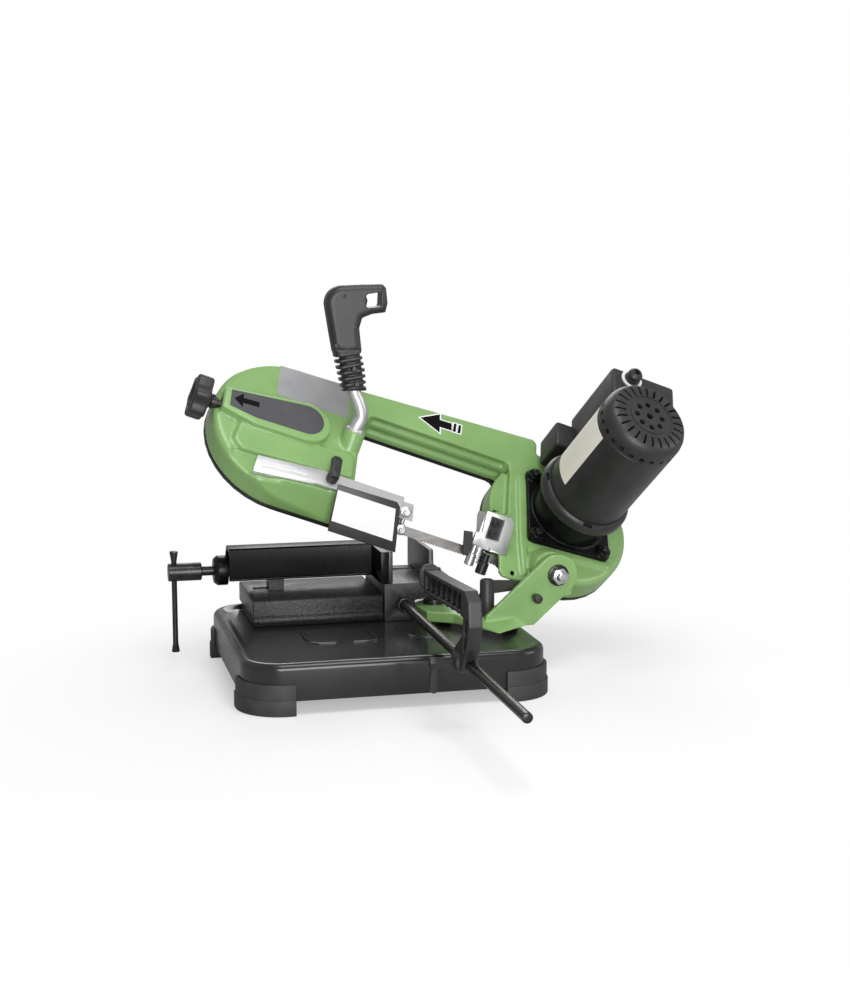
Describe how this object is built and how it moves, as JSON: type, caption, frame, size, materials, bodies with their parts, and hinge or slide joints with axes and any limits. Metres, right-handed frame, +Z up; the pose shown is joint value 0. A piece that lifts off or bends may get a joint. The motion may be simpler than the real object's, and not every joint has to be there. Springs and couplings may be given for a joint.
{
  "type": "pivoting band saw",
  "caption": "Bench band saw for metal: a tilted bow with its motor swings on a swivel arm over a screw vise, with a hooked length stop on a rod.",
  "frame": {"origin": "on the floor plane under the middle of the saw's bounding box, at the rest pose", "axes": "+X to the right along the vise, +Y to the back, +Z up; the operator stands at -Y"},
  "size_m": [0.6772, 0.7142, 0.5001],
  "materials": {
    "black_enamel": "gloss black enamel",
    "green": "semi-gloss green enamel on a casting",
    "casting": "black-painted cast iron",
    "steel": "bright steel",
    "aluminium": "plain aluminium",
    "plastic": "matt black plastic",
    "rubber": "black rubber",
    "brass": "machined brass"
  },
  "bodies": {
    "base": {"base_tray": "black_enamel", "foot_front_left": "rubber", "foot_front_right": "rubber", "foot_back_left": "rubber", "foot_back_right": "rubber", "vise_bed": "casting", "vise_table_block": "casting", "fixed_jaw": "steel", "vise_nut": "brass", "stop_rod": "steel", "stop_rod_nut": "steel", "swivel_bolt": "steel"},
    "jaw": {"moving_jaw": "black_enamel", "moving_jaw_plate": "steel", "screw_bearing": "black_enamel"},
    "screw": {"vise_screw": "steel"},
    "bar": {"vise_handle_bar": "steel"},
    "stop": {"stop_arm": "plastic"},
    "stop_lever": {"stop_clamp_lever": "plastic"},
    "swivel": {"swivel_arm": "green", "pivot_bolt": "steel", "pivot_washer": "black_enamel"},
    "swivel_lever": {"lock_lever": "plastic"},
    "bow_lock": {"lock_pin": "plastic"},
    "bow": {"bow_frame": "green", "rear_cover": "black_enamel", "cover_knob_left": "plastic", "cover_knob_right": "plastic", "saw_blade": "steel", "right_guide_block": "aluminium", "right_bearing_front": "steel", "right_bearing_back": "steel", "gearbox_housing": "black_enamel", "motor_flange": "black_enamel", "motor_housing": "black_enamel", "fan_cover": "plastic", "stator": "steel", "terminal_box": "plastic", "cable_gland": "plastic", "handle_tube": "aluminium", "handle_grip": "plastic", "tension_spring": "steel"},
    "carriage": {"tension_carriage": "steel", "idler_axle": "steel"},
    "idler": {"idler_wheel": "casting", "idler_bearing": "steel"},
    "tensioner": {"tension_knob": "plastic"},
    "drive": {"drive_wheel": "casting", "drive_shaft": "steel", "output_gear": "brass"},
    "layshaft": {"layshaft_gear": "steel"},
    "motor_rotor": {"rotor": "steel", "cooling_fan": "plastic"},
    "guide": {"guide_bar": "aluminium", "left_guide_block": "aluminium", "left_bearing_front": "steel", "left_bearing_back": "steel", "blade_guard": "black_enamel"},
    "guide_clamp": {"guide_clamp_knob": "plastic"},
    "switch": {"trigger": "plastic"}
  },
  "joints": [
    {"name": "jaw_slide", "type": "slide", "parent": "base", "child": "jaw", "axis": [1, 0, 0], "range_m": [-0.056, 0.04]},
    {"name": "screw_spin", "type": "hinge", "parent": "jaw", "child": "screw", "pos_m": [-0.2876, 0.2819, 0.1208], "axis": [1, 0, 0], "continuous": true},
    {"name": "bar_slide", "type": "slide", "parent": "screw", "child": "bar", "axis": [0, 0, 1], "range_m": [0, 0.02]},
    {"name": "stop_slide", "type": "slide", "parent": "base", "child": "stop", "axis": [0, 1, 0], "range_m": [-0.22, 0.09]},
    {"name": "stop_lever_turn", "type": "hinge", "parent": "stop", "child": "stop_lever", "pos_m": [-0.0676, -0.1121, 0.08], "axis": [1, 0, 0], "range_deg": [-90, 90]},
    {"name": "miter_swivel", "type": "hinge", "parent": "base", "child": "swivel", "pos_m": [0.0074, 0.2139, 0.07], "axis": [0, 0, 1], "range_deg": [0, 45]},
    {"name": "lock_lever_turn", "type": "hinge", "parent": "swivel", "child": "swivel_lever", "pos_m": [0.0584, 0.1329, 0.1], "axis": [0, 0, 1], "range_deg": [0, 7]},
    {"name": "lock_pin_pull", "type": "slide", "parent": "swivel", "child": "bow_lock", "axis": [0, 1, 0], "range_m": [-0.01, 0], "stiffness_N_per_m": 300, "springref_m": 0.004},
    {"name": "bow_pivot", "type": "hinge", "parent": "swivel", "child": "bow", "pos_m": [0.149, 0.1589, 0.1272], "axis": [0, 1, 0], "range_deg": [-20, 40], "stiffness_Nm_per_rad": 14, "springref_deg": 57.3},
    {"name": "tension_slide", "type": "slide", "parent": "bow", "child": "carriage", "axis": [0.9397, 0, -0.342], "range_m": [0, 0.008]},
    {"name": "idler_spin", "type": "hinge", "parent": "carriage", "child": "idler", "pos_m": [-0.1828, 0.2508, 0.30032], "axis": [0.2418, -0.7071, 0.6645], "continuous": true},
    {"name": "tension_knob_turn", "type": "hinge", "parent": "bow", "child": "tensioner", "pos_m": [-0.29236, 0.23595, 0.356], "axis": [0.9397, 0, -0.342], "continuous": true},
    {"name": "drive_spin", "type": "hinge", "parent": "bow", "child": "drive", "pos_m": [0.1818, 0.2508, 0.16762], "axis": [0.2418, -0.7071, 0.6645], "continuous": true},
    {"name": "layshaft_spin", "type": "hinge", "parent": "bow", "child": "layshaft", "pos_m": [0.2138, 0.21085, 0.17366], "axis": [0.2418, -0.7071, 0.6645], "continuous": true},
    {"name": "rotor_spin", "type": "hinge", "parent": "bow", "child": "motor_rotor", "pos_m": [0.2279, 0.15463, 0.2592], "axis": [0.2418, -0.7071, 0.6645], "continuous": true},
    {"name": "guide_slide", "type": "slide", "parent": "bow", "child": "guide", "axis": [0.9397, 0, -0.342], "range_m": [-0.02, 0.015]},
    {"name": "guide_clamp_turn", "type": "hinge", "parent": "bow", "child": "guide_clamp", "pos_m": [-0.13322, 0.17868, 0.2582], "axis": [0.2418, -0.7071, 0.6645], "range_deg": [-90, 90]},
    {"name": "trigger_press", "type": "hinge", "parent": "bow", "child": "switch", "pos_m": [-0.08856, 0.2429, 0.49014], "axis": [0, 1, 0], "range_deg": [0, 8], "stiffness_Nm_per_rad": 0.3, "springref_deg": -17.19}
  ],
  "couplings": [
    {"joint": "screw_spin", "follows": "jaw_slide", "rad_per_m": 1570.8},
    {"joint": "tension_knob_turn", "follows": "tension_slide", "rad_per_m": -4188.8},
    {"joint": "idler_spin", "follows": "drive_spin", "ratio": 1},
    {"joint": "layshaft_spin", "follows": "drive_spin", "ratio": -4.2},
    {"joint": "rotor_spin", "follows": "drive_spin", "ratio": 17.64}
  ]
}
